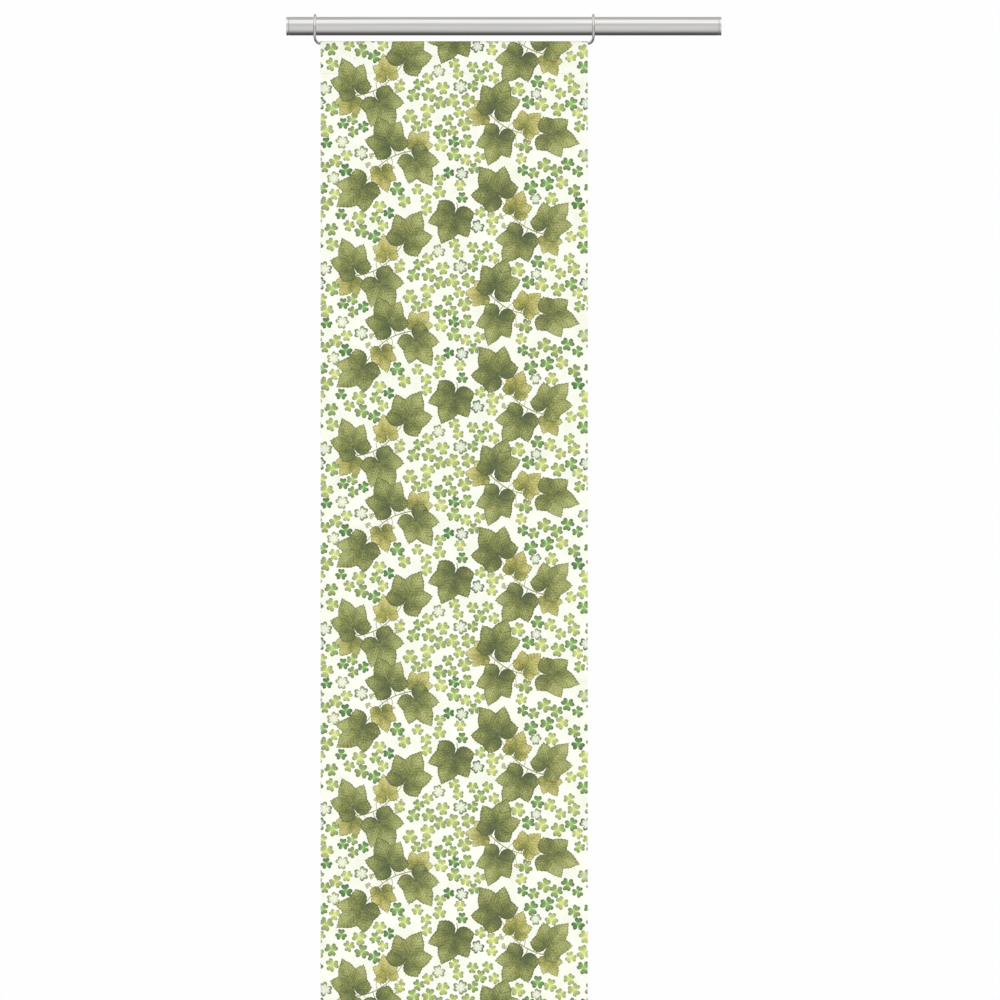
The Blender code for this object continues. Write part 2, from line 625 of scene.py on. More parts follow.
def leaf_outline(length, tooth):
    """A leaf's outline in units of its length, with small teeth between its pointed tips."""
    half = [polar(0, margin_reach(LEAF_MARGIN, 0))]
    for start, end in zip(LOBE_AXES, LOBE_AXES[1:] + (180,)):
        smooth = [polar(angle, margin_reach(LEAF_MARGIN, angle)) for angle in range(start, end + 1)]
        stretch = evenly(smooth, TOOTH_SPACING / 2 / length)
        for i in range(2, len(stretch) - 2, 2):
            along = (stretch[i + 1] - stretch[i - 1]).normalized()
            stretch[i] = stretch[i] + Vector((-along.y, along.x)) * (tooth / length)
        half += stretch[1:]
    mirrored = [Vector((-point.x, point.y)) for point in half[1:-1]]
    return half + mirrored[::-1]


def clover_patch():
    """The corners of a clover's patch, in units of the clover's radius."""
    outline = []
    span = 360 / LEAFLETS
    for k in range(LEAFLETS):
        outline += [polar(k * span - angle, reach) for angle, reach in LEAFLET_PATCH[::-1]]
        outline += [polar(k * span + angle, reach) for angle, reach in LEAFLET_PATCH[:-1]]
    return outline


def bud_outline():
    """The outline of a round bud, in units of its radius."""
    return [polar(360 * k / BUD_SIDES, 1) for k in range(BUD_SIDES)]


def ribbon(points, widths):
    """The outline of a strip along a line of points, which tapers between two widths in
    millimetres."""
    start_width, end_width = (width * MM for width in widths)
    right, left = [], []
    for i, point in enumerate(points):
        heading = (points[min(i + 1, len(points) - 1)] - points[max(i - 1, 0)]).normalized()
        aside = Vector((heading.y, -heading.x))
        half = (start_width + (end_width - start_width) * i / (len(points) - 1)) / 2
        right.append(point + aside * half)
        left.append(point - aside * half)
    return right + left[::-1]


def arc_line(start, end, bow, steps):
    """Points on a bowed line between two points. bow is its height as a share of its length."""
    span = end - start
    aside = Vector((span.y, -span.x)) * bow
    shares = [i / steps for i in range(steps + 1)]
    return [start + span * t + aside * 4 * t * (1 - t) for t in shares]


def anticlockwise(points):
    """The outline in the direction that has its inside on the left."""
    pairs = zip(points, points[1:] + points[:1])
    area = sum(a.x * b.y - a.y * b.x for a, b in pairs)
    return points if area > 0 else points[::-1]


class Motif:
    """One printed shape. It knows the way from its own coordinates, in which its length or
    radius is 1 and its tip is at +Y, to the flat cloth, and back."""

    def __init__(
        self, ink, outline, place, size=1.0, turn=0.0, bend=0.0, breadth=1.0, tone=0.0, light=0.5
    ):
        self.ink = ink
        self.place = place
        self.size = size
        self.turn = turn
        self.bend = bend
        self.breadth = breadth
        self.tone = tone
        self.light = light
        self.points = anticlockwise([self.on_cloth(point) for point in outline])

    def on_cloth(self, point):
        """The place on the flat cloth of a point in the motif's own coordinates."""
        bent = Vector((point.x * self.breadth + self.bend * point.y**2, point.y))
        return self.place + turned(bent, self.turn) * self.size

    def own(self, point):
        """The motif's own coordinates of a place on the flat cloth."""
        back = turned(point - self.place, -self.turn) / self.size
        return Vector(((back.x - self.bend * back.y**2) / self.breadth, back.y))

    def moved(self, by):
        """A copy of the motif at another place."""
        other = copy(self)
        other.place = self.place + by
        other.points = [point + by for point in self.points]
        return other


def leaf(place, length, turn, tone, tooth, rng):
    """A leaf whose blade starts at the place, with a bend, breadth and lightness of its own."""
    return Motif(
        "leaf",
        leaf_outline(length, tooth),
        place,
        length,
        turn,
        bend=rng.uniform(*LEAF_BENDS),
        breadth=rng.uniform(*LEAF_BREADTHS),
        tone=tone,
        light=rng.random(),
    )


def stem(points, widths):
    """A stem along a line of points on the cloth, which are its own coordinates too."""
    return Motif("stem", ribbon(points, widths), Vector((0, 0)))


def trail(start, turn, hand, tooth, rng):
    """A curved stem with its leaves and buds, from the back layer to the front one."""

    def cloth_point(x, y):
        """The place on the cloth of a point in the trail's own millimetres."""
        return start + turned(Vector((hand * x * MM, y * MM)), turn)

    def stem_point(along):
        """The x and y of the stem's middle line."""
        share = along / TRAIL_LENGTH
        return TRAIL_BOW * math.sin(math.pi * share) + TRAIL_DRIFT * share, along

    def stem_turn(along):
        """The direction of the stem there, in degrees from straight up."""
        ahead, behind = stem_point(along + 1), stem_point(along - 1)
        return math.degrees(math.atan2(ahead[0] - behind[0], 2))

    stations = [TRAIL_LENGTH * i / TRAIL_STEPS for i in range(TRAIL_STEPS + 1)]
    line = [cloth_point(*stem_point(along)) for along in stations]
    twigs = [stem(line, STEM_WIDTHS)]
    buds, leaves = [], []
    for along, side, out in TRAIL_BUDS:
        x, y = stem_point(along)
        base = cloth_point(x, y)
        tip = cloth_point(x + side * out, y + out * TWIG_RISE)
        twigs.append(stem(arc_line(base, tip, TWIG_BOW * side * hand, BOW_STEPS), TWIG_WIDTHS))
        for bearing in BUD_BEARINGS:
            heading = bearing + turn + hand * side * TWIG_BEARING
            spot = tip + turned(Vector((0, BUD_OUT * MM)), heading)
            buds.append(Motif("bud", bud_outline(), spot, rng.uniform(*BUD_RADII) * MM))
    for along, side, stalk, length, lean, tone in TRAIL_LEAVES:
        x, y = stem_point(along)
        direction = stem_turn(along) + side * lean
        reach = polar(direction, stalk)
        base = cloth_point(x, y)
        joint = cloth_point(x + reach.x, y + reach.y)
        twigs.append(stem(arc_line(base, joint, STALK_BOW * side * hand, BOW_STEPS), STALK_WIDTHS))
        leaf_turn = turn + hand * (direction + rng.uniform(*LEAF_SWAY))
        leaves.append(leaf(joint, length * MM, leaf_turn, tone, tooth, rng))
    return twigs + buds + leaves


def single_leaf(place, length, turn, tone, tooth, rng):
    """A leaf on a stalk of its own."""
    end = place + turned(Vector(SINGLE_STALK_END) * MM, turn)
    line = arc_line(place, end, SINGLE_STALK_BOW, SINGLE_STALK_STEPS)
    return [stem(line, STALK_WIDTHS[::-1]), leaf(place, length, turn, tone, tooth, rng)]


def whole_moves(start, reach, step, low, high):
    """The moves of whole steps that bring something at start within reach of a range."""
    first = math.floor((low - reach - start) / step)
    last = math.ceil((high + reach - start) / step)
    return [i * step for i in range(first, last + 1)]


def repeats_near(motif, width, height, low, high):
    """The motif moved by whole repeats to every place in the box, or about its size away."""
    start = motif.points[0]
    reach = 2 * max((point - start).length for point in motif.points)
    across = whole_moves(start.x, reach, width, low.x, high.x)
    up = whole_moves(start.y, reach, height, low.y, high.y)
    return [motif.moved(Vector((x, y))) for x in across for y in up]


def clovers(leaves, pattern, rng):
    """Clovers at random places between the leaves of one repeat, close to each other."""
    width, height = pattern.repeat_width, pattern.repeat_height
    low, high = Vector((0, 0)), Vector((width, height))
    blades = [near for one in leaves for near in repeats_near(one, width, height, low, high)]
    kept = []
    for _ in range(pattern.clover_tries):
        spot = Vector((rng.uniform(0, width), rng.uniform(0, height)))
        radius = rng.choice(CLOVER_RADII) * MM
        turn = rng.uniform(0, 360)
        if any(crowds_leaf(spot, radius, blade) for blade in blades):
            continue
        if any(crowds_clover(spot, radius, other, width, height) for other in kept):
            continue
        tone = rng.choice(CLOVER_TONES)
        light = rng.random()
        kept.append(Motif("clover", clover_patch(), spot, radius, turn, tone=tone, light=light))
    return kept


def crowds_leaf(spot, radius, blade):
    """True if a clover there would lie more than a little under or against the leaf."""
    if (spot - blade.place).length > LEAF_REACH * blade.size + radius:
        return False
    own = blade.own(spot)
    angle = math.degrees(math.atan2(own.x, own.y))
    if own.length < margin_reach(LEAF_MARGIN, angle):
        return True
    return any((spot - point).length < LEAF_SPACING * radius for point in blade.points)


def crowds_clover(spot, radius, other, width, height):
    """True if a clover there would lie too near to another one, in this repeat or the next."""
    across, up = abs(spot.x - other.place.x), abs(spot.y - other.place.y)
    distance = math.hypot(min(across, width - across), min(up, height - up))
    return distance < CLOVER_SPACING * (radius + other.size)


def one_repeat(pattern):
    """The motifs of one repeat, from the back layer to the front one."""
    rng = random.Random(PRINT_SEED)
    sprays, blades = [], []
    for x, y, turn, hand in TRAILS:
        made = trail(Vector((x, y)) * MM, turn, hand, pattern.tooth, rng)
        sprays += [one for one in made if one.ink != "leaf"]
        blades += [one for one in made if one.ink == "leaf"]
    for x, y, length, turn, tone in SINGLE_LEAVES:
        made = single_leaf(Vector((x, y)) * MM, length * MM, turn, tone, pattern.tooth, rng)
        sprays.append(made[0])
        blades.append(made[1])
    return clovers(blades, pattern, rng) + sprays + blades


def printed_shapes(path, pattern):
    """Every motif that reaches onto the flat cloth, from the back layer to the front one."""
    low, high = Vector((0, 0)), Vector((PANEL_WIDTH, path.length))
    shapes = []
    for motif in one_repeat(pattern):
        for near in repeats_near(motif, pattern.repeat_width, pattern.repeat_height, low, high):
            xs = [point.x for point in near.points]
            ys = [point.y for point in near.points]
            if max(xs) > 0 and min(xs) < high.x and max(ys) > 0 and min(ys) < high.y:
                shapes.append(near)
    return shapes


def cut_by_print(path, shapes):
    """The flat cloth as triangles that follow the outlines of the print and the folds.

    Returns the points, the triangles, and for each triangle the front motif on it or None.
    """
    # The cutting is done in millimetres, which suits its tolerance.
    to_mm = 1 / MM
    width, length = PANEL_WIDTH * to_mm, path.length * to_mm
    points = [Vector(p) for p in ((0, 0), (width, 0), (width, length), (0, length))]
    faces = [[0, 1, 2, 3]]
    edges = []
    for station in path.stations[1:-1]:
        edges.append((len(points), len(points) + 1))
        points += [Vector((0, station * to_mm)), Vector((width, station * to_mm))]
    for shape in shapes:
        faces.append(list(range(len(points), len(points) + len(shape.points))))
        points += [point * to_mm for point in shape.points]
    only_inside = 1
    cut = delaunay_2d_cdt(points, edges, faces, only_inside, CUT_TOLERANCE, True)
    found, _, triangles, _, _, sources = cut

    # Face 0 is the cloth. The motifs come after it, so the last one of a triangle is in front.
    kept, motifs = [], []
    for triangle, source in zip(triangles, sources):
        if 0 not in source:
            continue
        kept.append(triangle)
        front = max(source)
        motifs.append(shapes[front - 1] if front else None)
    used = sorted({index for triangle in kept for index in triangle})
    place = {index: i for i, index in enumerate(used)}
    kept = [[place[index] for index in triangle] for triangle in kept]
    return [found[index] * MM for index in used], kept, motifs


def printed_sheet(cloth, pattern):
    """The cloth's middle layer, hung over the wire, with the print on its outer face."""
    path = ClothPath(cloth.thickness)
    points, triangles, motifs = cut_by_print(path, printed_shapes(path, pattern))
    places = []
    for point in points:
        y, z = path.at(point.y)
        x = point.x - HALF_WIDTH
        places.append((x, y + swing(x, z, path, cloth.wave), z))
    mesh = bpy.data.meshes.new("curtain_panel")
    mesh.from_pydata(places, [], triangles)
    flat = mesh.uv_layers.new(name="cloth")
    own = mesh.uv_layers.new(name="motif")
    ink = mesh.uv_layers.new(name="ink")
    for polygon, triangle, motif in zip(mesh.polygons, triangles, motifs):
        polygon.material_index = INKS.index(motif.ink) if motif else 0
        for corner, index in zip(polygon.loop_indices, triangle):
            flat.uv[corner].vector = points[index]
            if motif:
                own.uv[corner].vector = motif.own(points[index])
                ink.uv[corner].vector = (motif.tone, motif.light)
    mesh.shade_smooth()
    mesh.update()
    return mesh, path


# ---------------------------------------------------------------- the cloth's materials


# Each ink is made by a function that takes the node tree and the curtain's settings and
# returns the ink's colour. In a motif's own coordinates its length or radius is 1.

STRAW_STOPS = ((0.0, "#6a713a"), (0.3, "#97974b"), (0.6, "#bfb86a"), (1.0, "#dedaa0"))
PALE_CLOVER_STOPS = ((0.1, "#dde391"), (0.45, "#b5c26c"), (0.85, "#939c74"))
DARK_CLOVER_STOPS = ((0.1, "#88b86a"), (0.45, "#598744"), (0.85, "#4f664c"))


def ground_ink(tree, settings):
    """Bleached cotton, hardly uneven, in clouds about 40 mm wide."""
    place = add(tree, "UVMap", uv_map="cloth")
    clouds = add(tree, "TexNoise", {"Vector": place, "Scale": 1 / (40 * MM), "Detail": 3.0})
    return add(tree, "ValToRGB", [clouds], stops=((0.3, settings.cloth.ground), (0.75, "#eef1e1")))


def motif_values(tree):
    """The place in the motif's own coordinates, as a vector, as x and y and as the distance from
    its base or middle, and then the motif's tone and lightness."""
    own = add(tree, "UVMap", uv_map="motif")
    x, y, _ = add(tree, "SeparateXYZ", [own]).node.outputs
    reach = add(tree, "VectorMath", [own], out="Value", operation="LENGTH")
    ink = add(tree, "UVMap", uv_map="ink")
    tone, light, _ = add(tree, "SeparateXYZ", [ink]).node.outputs
    return own, x, y, reach, tone, light


def two_tone(tree, tone, depth, stops, other_stops):
    """The colour at a depth of ink, from one ramp at tone 0 to another one at tone 1."""
    colour = add(tree, "ValToRGB", [depth], stops=stops)
    other = add(tree, "ValToRGB", [depth], stops=other_stops)
    return add(tree, "Mix", {0: tone, 6: colour, 7: other}, out=2, data_type="RGBA")


def place_in_lobe(tree, angle, reach):
    """How far each place of a leaf lies along and beside the main vein of its own lobe, and
    whether that is one of the two lobes next to the stalk."""
    first, second = (math.radians(limit) for limit in LOBE_LIMITS)
    middle, outer = (math.radians(b - a) for a, b in zip(LOBE_AXES, LOBE_AXES[1:]))
    in_side_lobe = add(tree, "Math", [angle, first], operation="GREATER_THAN")
    in_base_lobe = add(tree, "Math", [angle, second], operation="GREATER_THAN")
    vein = add(tree, "Math", [in_side_lobe, middle], operation="MULTIPLY")
    vein = add(tree, "Math", [in_base_lobe, outer, vein], operation="MULTIPLY_ADD")
    off = add(tree, "Math", [angle, vein], operation="SUBTRACT")
    sine = add(tree, "Math", [off], operation="SINE")
    sine = add(tree, "Math", [sine], operation="ABSOLUTE")
    aside = add(tree, "Math", [sine, reach], operation="MULTIPLY")
    cosine = add(tree, "Math", [off], operation="COSINE")
    ahead = add(tree, "Math", [cosine, reach], operation="MULTIPLY")
    return ahead, aside, in_base_lobe


def side_veins(tree, along, across, tone, wander, slope, sway, counts, widths):
    """Fine parallel veins, one after another along the lobe or across it. They run aslant and
    sway a little. counts is their number on a leaf's length, on a green leaf and on a straw
    one, and widths is where a vein starts to fade and where it ends, in spacings."""
    green, straw = counts
    veins = add(tree, "Math", [across, slope, along], operation="MULTIPLY_ADD")
    veins = add(tree, "Math", [wander, sway, veins], operation="MULTIPLY_ADD")
    count = add(tree, "Math", [tone, straw - green, green], operation="MULTIPLY_ADD")
    veins = add(tree, "Math", [veins, count], operation="MULTIPLY")
    veins = add(tree, "Math", [veins, 0.5], operation="PINGPONG")
    return add(tree, "MapRange", [veins, *widths, 1.0, 0.0])


def leaf_ink(tree, settings):
    """A painted leaf: dark round its base and along its rim and lighter towards its tips. Its
    main veins are thin dark lines with a pale band beside them, and its side veins are finer.
    The tone turns it from green to straw."""
    own, x, y, reach, tone, light = motif_values(tree)
    side = add(tree, "Math", [x], operation="ABSOLUTE")
    angle = add(tree, "Math", [side, y], operation="ARCTAN2")
    ahead, aside, in_base_lobe = place_in_lobe(tree, angle, reach)

    # Four uneven patterns, with their number on a leaf's length, that differ from leaf to leaf.
    seed = add(tree, "Math", [light, 23.0], operation="MULTIPLY")
    wander, mottle, wash, patches = (
        add(
            tree,
            "TexNoise",
            {"Vector": own, "W": seed, "Scale": number, "Detail": detail},
            noise_dimensions="4D",
        )
        for number, detail in ((7.0, 1.0), (26.0, 2.0), (3.2, 3.0), (1.3, 2.0))
    )

    main = add(tree, "MapRange", [aside, 0.004, 0.016, 1.0, 0.0])
    flank = add(tree, "MapRange", [aside, 0.016, 0.06, 1.0, 0.0])
    ribs = side_veins(
        tree, ahead, aside, tone, wander, slope=-0.75, sway=0.16, counts=(9.0, 5.5), widths=(0.02, 0.14)
    )
    hatch = side_veins(
        tree, aside, ahead, tone, wander, slope=0.8, sway=0.12, counts=(31.0, 19.0), widths=(0.1, 0.4)
    )

    share = add(tree, "Math", [angle, math.pi], operation="DIVIDE")
    outline = [(degrees / 180, r) for degrees, r in LEAF_MARGIN]
    margin = add(tree, "FloatCurve", {1: share}, curve=outline)
    inside = add(tree, "Math", [margin, reach], operation="SUBTRACT")
    rim = add(tree, "MapRange", [inside, 0.0, 0.09, 1.0, 0.0])
    edge = add(tree, "MapRange", [inside, 0.0, 0.025, 1.0, 0.0])
    rise = add(tree, "MapRange", [ahead, 0.0, 0.75], interpolation_type="SMOOTHSTEP")
    left = add(tree, "Math", [x, 0.0], operation="LESS_THAN")

    # What makes the ink lighter there or, with a negative weight, darker.
    depth = add(tree, "Math", [rise, 0.5, -0.54], operation="MULTIPLY_ADD")
    for part, weight in (
        (wash, 0.8),
        (mottle, 0.9),
        (light, 0.2),
        (rim, -0.15),
        (edge, -0.35),
        (ribs, -0.42),
        (hatch, -0.24),
        (in_base_lobe, -0.12),
        (left, -0.10),
        (main, -0.50),
        (flank, 0.22),
    ):
        depth = add(tree, "Math", [part, weight, depth], operation="MULTIPLY_ADD")
    shade, brightest = settings.pattern.leaf_shade, settings.pattern.leaf_light
    green_stops = ((0.0, shade), (0.3, "#5f6a3d"), (0.6, brightest), (1.0, "#b2b979"))
    yellowing = add(tree, "MapRange", [patches, 0.55, 0.8, 0.0, 0.4])
    tone = add(tree, "Math", [tone, yellowing], operation="ADD", use_clamp=True)
    return two_tone(tree, tone, depth, green_stops, STRAW_STOPS)


def clover_ink(tree, settings):
    """A clover leaf with a bright heart, a thin line down each leaflet and a greyer rim. The
    tone turns it from light to dark green, and some have leaflets that are left open."""
    own, x, y, reach, tone, light = motif_values(tree)
    half_leaflet = math.pi / LEAFLETS
    angle = add(tree, "Math", [x, y], operation="ARCTAN2")
    folded = add(tree, "Math", [angle, half_leaflet], operation="PINGPONG")
    sine = add(tree, "Math", [folded], operation="SINE")
    aside = add(tree, "Math", [sine, reach], operation="MULTIPLY")

    share = add(tree, "Math", [folded, half_leaflet], operation="DIVIDE")
    outline = [(degrees * LEAFLETS / 180, r) for degrees, r in LEAFLET_MARGIN]
    margin = add(tree, "FloatCurve", {1: share}, curve=outline, handles="AUTO")
    printed = add(tree, "Math", [reach, margin], operation="LESS_THAN")

    line = add(tree, "MapRange", [aside, 0.0, 0.07, 1.0, 0.0])
    bow = add(tree, "Math", [aside, 0.55, reach], operation="MULTIPLY_ADD")
    chevron = add(tree, "Math", [bow, 0.78], operation="SUBTRACT")
    chevron = add(tree, "Math", [chevron], operation="ABSOLUTE")
    chevron = add(tree, "MapRange", [chevron, 0.03, 0.16, 1.0, 0.0])
    wash = add(tree, "TexNoise", {"Vector": own, "Scale": 2.6, "Detail": 2.0})
    depth = add(tree, "Math", [reach, 1.0, -0.45], operation="MULTIPLY_ADD")
    for part, weight in ((wash, 0.6), (light, 0.25), (chevron, -0.22), (line, 0.18)):
        depth = add(tree, "Math", [part, weight, depth], operation="MULTIPLY_ADD")
    colour = two_tone(tree, tone, depth, PALE_CLOVER_STOPS, DARK_CLOVER_STOPS)

    # The lightest clovers keep an open heart, where the cotton shows.
    inside = add(tree, "Math", [margin, reach], operation="SUBTRACT")
    gap = add(tree, "MapRange", [inside, 0.18, 0.45])
    left_open = add(tree, "MapRange", [light, 0.82, 0.83, 0.0, 0.8])
    gap = add(tree, "Math", [gap, left_open], operation="MULTIPLY")
    hidden = add(tree, "Math", [1.0, gap], operation="SUBTRACT")
    printed = add(tree, "Math", [printed, hidden], operation="MULTIPLY")
    bare = ground_ink(tree, settings)
    return add(tree, "Mix", {0: printed, 6: bare, 7: colour}, out=2, data_type="RGBA")


def stem_ink(tree, settings):
    """A thin brownish green stem that the ink leaves lighter in places, 3 mm or so long."""
    place = add(tree, "UVMap", uv_map="cloth")
    wash = add(tree, "TexNoise", {"Vector": place, "Scale": 300.0, "Detail": 2.0})
    return add(tree, "ValToRGB", [wash], stops=((0.3, "#7d7a45"), (0.75, "#b5ae7c")))


def bud_ink(tree, settings):
    """A small bud, pale in the middle and tan round its rim."""
    own = add(tree, "UVMap", uv_map="motif")
    reach = add(tree, "VectorMath", [own], out="Value", operation="LENGTH")
    stops = ((0.1, "#dcdaa9"), (0.6, "#b5b47c"), (0.95, "#7e7f55"))
    return add(tree, "ValToRGB", [reach], stops=stops)


INK_COLOURS = {
    "ground": ground_ink,
    "leaf": leaf_ink,
    "clover": clover_ink,
    "stem": stem_ink,
    "bud": bud_ink,
}

# How much of the print shows through on the back of the cloth.
SHOW_THROUGH = 0.2


def printed_cotton(ink, reverse, settings):
    """Plain-woven cotton with one ink of the print on it, or its reverse, where little shows.

    Bleached cotton yarn is matt, with a soft sheen from its loose fibres. The threads cross over
    and under each other, and the ink lies thinner in the gaps between them. The yarn is uneven,
    in slubs 0.6 mm wide and 17 mm long.
    """
    material, tree = new_material(f"printed cotton, {ink}{' reverse' if reverse else ''}")
    colour = INK_COLOURS[ink](tree, settings)
    place = add(tree, "UVMap", uv_map="cloth")
    half_turns = {0: place, "Scale": math.pi / settings.cloth.thread_spacing}
    turns = add(tree, "VectorMath", half_turns, operation="SCALE")
    u, v, _ = add(tree, "SeparateXYZ", [turns]).node.outputs
    warp = add(tree, "Math", [u], operation="SINE")
    weft = add(tree, "Math", [v], operation="SINE")
    over = add(tree, "Math", [warp, weft], operation="MULTIPLY")
    over = add(tree, "Math", [over, 0.0], operation="GREATER_THAN")
    warp = add(tree, "Math", [warp], operation="ABSOLUTE")
    weft = add(tree, "Math", [weft], operation="ABSOLUTE")
    upper = add(tree, "Mix", {0: over, 2: weft, 3: warp}, data_type="FLOAT")
    both = add(tree, "Math", [warp, weft], operation="ADD")
    height = add(tree, "Math", [upper, 0.6, both], operation="MULTIPLY_ADD")
    slubs = add(tree, "Mapping", {"Vector": place, "Scale": (1600.0, 60.0, 1.0)})
    slubs = add(tree, "TexNoise", {"Vector": slubs, "Scale": 1.0, "Detail": 1.0})
    height = add(tree, "Math", [slubs, 0.8, height], operation="MULTIPLY_ADD")
    bump = add(tree, "Bump", {"Strength": 0.3, "Distance": 0.12 * MM, "Height": height})

    thin = add(tree, "MapRange", [height, 0.4, 1.8, 0.16, 0.0])
    if reverse:
        thin = add(tree, "Math", [thin, 0.3, 1 - SHOW_THROUGH], operation="MULTIPLY_ADD")
    white = (*settings.cloth.ground, 1)
    colour = add(tree, "Mix", {0: thin, 6: colour, 7: white}, out=2, data_type="RGBA")
    surface = {
        "Base Color": colour,
        "Roughness": 0.88,
        "Specular IOR Level": 0.3,
        "Sheen Weight": 0.08,
        "Sheen Roughness": 0.5,
        "Normal": bump,
    }
    add(tree, "OutputMaterial", [add(tree, "BsdfPrincipled", surface)])
    return material


# ---------------------------------------------------------------- the metal's materials


def steel(name, colour, roughness, marks):
    """Bright steel with faint marks from its making, which spread the reflections a little.
    marks is their number on a metre along each axis."""
    material, tree = new_material(name)
    place = add(tree, "TexCoord", out="Object")
    stretched = add(tree, "Mapping", {"Vector": place, "Scale": marks})
    scratches = add(tree, "TexNoise", {"Vector": stretched, "Scale": 1.0, "Detail": 3.0})
    clouds = add(tree, "TexNoise", {"Vector": place, "Scale": 1 / (40 * MM), "Detail": 2.0})
    both = add(tree, "Math", [scratches, 0.7, clouds], operation="MULTIPLY_ADD")
    rough = add(tree, "MapRange", [both, 0.6, 1.1, roughness * 0.75, roughness * 1.3])
    darker = tuple(0.86 * channel for channel in colour)
    tint = add(tree, "ValToRGB", [scratches], stops=((0.3, darker), (0.6, colour)))
    bump = add(tree, "Bump", {"Strength": 0.12, "Distance": 0.02 * MM, "Height": scratches})
    surface = {"Base Color": tint, "Metallic": 1.0, "Roughness": rough, "Normal": bump}
    add(tree, "OutputMaterial", [add(tree, "BsdfPrincipled", surface)])
    return material


def brushed_tube(colour, roughness):
    """Stainless steel brushed along the tube with fine grit, which leaves hair-thin scratches.
    They are 0.02 mm wide, and are drawn 0.5 mm wide here so that they show."""
    return steel("brushed stainless steel", colour, roughness, (6, 2000, 2000))


def drawn_wire():
    """Steel drawn through a die, which leaves it smooth but for soft patches 2.5 mm wide."""
    return steel("bright drawn steel wire", srgb("#dddcd8"), 0.16, (400, 400, 400))


def turned_aluminium(colour, roughness):
    """Bare aluminium faced on a lathe: fine rings round the rod's axis, 0.4 mm apart, which is
    wider than the real 0.1 mm so that they show."""
    half_ring = 0.2 * MM
    material, tree = new_material("turned aluminium")
    place = add(tree, "TexCoord", out="Object")
    across = add(tree, "VectorMath", [place, (0.0, 1.0, 1.0)], operation="MULTIPLY")
    radius = add(tree, "VectorMath", [across], out="Value", operation="LENGTH")
    rings = add(tree, "Math", [radius, half_ring], operation="PINGPONG")
    rings = add(tree, "Math", [rings, half_ring], operation="DIVIDE")
    clouds = add(tree, "TexNoise", {"Vector": place, "Scale": 1 / (5 * MM), "Detail": 2.0})
    uneven = add(tree, "Math", [rings, clouds], operation="MULTIPLY")
    rough = add(tree, "MapRange", [uneven, 0.0, 0.7, roughness, roughness * 1.4])
    bump = add(tree, "Bump", {"Strength": 0.15, "Distance": 0.02 * MM, "Height": uneven})
    base = (*colour, 1)
    surface = {"Base Color": base, "Metallic": 1.0, "Roughness": rough, "Normal": bump}
    add(tree, "OutputMaterial", [add(tree, "BsdfPrincipled", surface)])
    return material


def sewing_thread():
    """Twisted polyester thread: pale sage to go with the print, a little shiny, with its two plies
    winding round, and painted shade that darkens the grooves between them."""
    half_ply = 0.3 * MM
    material, tree = new_material("twisted polyester thread")
    place = add(tree, "TexCoord", out="Object")
    x, _, z = add(tree, "SeparateXYZ", [place]).node.outputs
    twist = add(tree, "Math", [z, 0.8, x], operation="MULTIPLY_ADD")
    twist = add(tree, "Math", [twist, half_ply], operation="PINGPONG")
    twist = add(tree, "Math", [twist, half_ply], operation="DIVIDE")
    # Painted shade: the colour turns darker in the narrow grooves between the plies.
    tint = add(tree, "ValToRGB", [twist], stops=((0.0, "#a3a888"), (0.5, "#c4c9a9")))
    bump = add(tree, "Bump", {"Strength": 0.4, "Distance": 0.05 * MM, "Height": twist})
    surface = {"Base Color": tint, "Roughness": 0.55, "Normal": bump}
    add(tree, "OutputMaterial", [add(tree, "BsdfPrincipled", surface)])
    return material


def painted_floor():
    """Matt floor paint: pale and warm, with a hardly visible texture from the roller, 3 mm or
    so wide."""
    material, tree = new_material("matt floor paint")
    place = add(tree, "TexCoord", out="Object")
    roller = add(tree, "TexNoise", {"Vector": place, "Scale": 300.0, "Detail": 2.0})
    tint = add(tree, "ValToRGB", [roller], stops=((0.3, "#e9e8e4"), (0.7, "#edece8")))
    surface = {"Base Color": tint, "Roughness": 0.9}
    add(tree, "OutputMaterial", [add(tree, "BsdfPrincipled", surface)])
    return material


# ---------------------------------------------------------------- the rod


def round_bar(low_x, high_x, **options):
    """Adds a cylinder as thick as the rod between two places on the rod's axis."""
    clear_selection()
    bpy.ops.mesh.primitive_cylinder_add(
        vertices=ROUND_SIDES,
        radius=ROD_RADIUS,
        depth=high_x - low_x,
        location=((low_x + high_x) / 2, 0, 0),
        rotation=(0, math.radians(90), 0),
        **options,
    )
    return bpy.context.object


class CURTAIN_OT_rod(bpy.types.Operator):
    """Adds the rod: a thin steel tube with slightly broken edges"""

    bl_idname = "curtain.rod"
    bl_label = "Rod"

    def execute(self, context):
        rod = context.scene.curtain.rod
        tube = round_bar(TUBE_LOW.x, TUBE_HIGH.x, end_fill_type="NOTHING")
        apply_modifier(tube, "SOLIDIFY", thickness=ROD_WALL, offset=-1)
        break_edges(tube)
        finish_piece(tube, "rod_skin", ["rod_tube"], [brushed_tube(rod.steel, rod.roughness)])
        return {"FINISHED"}


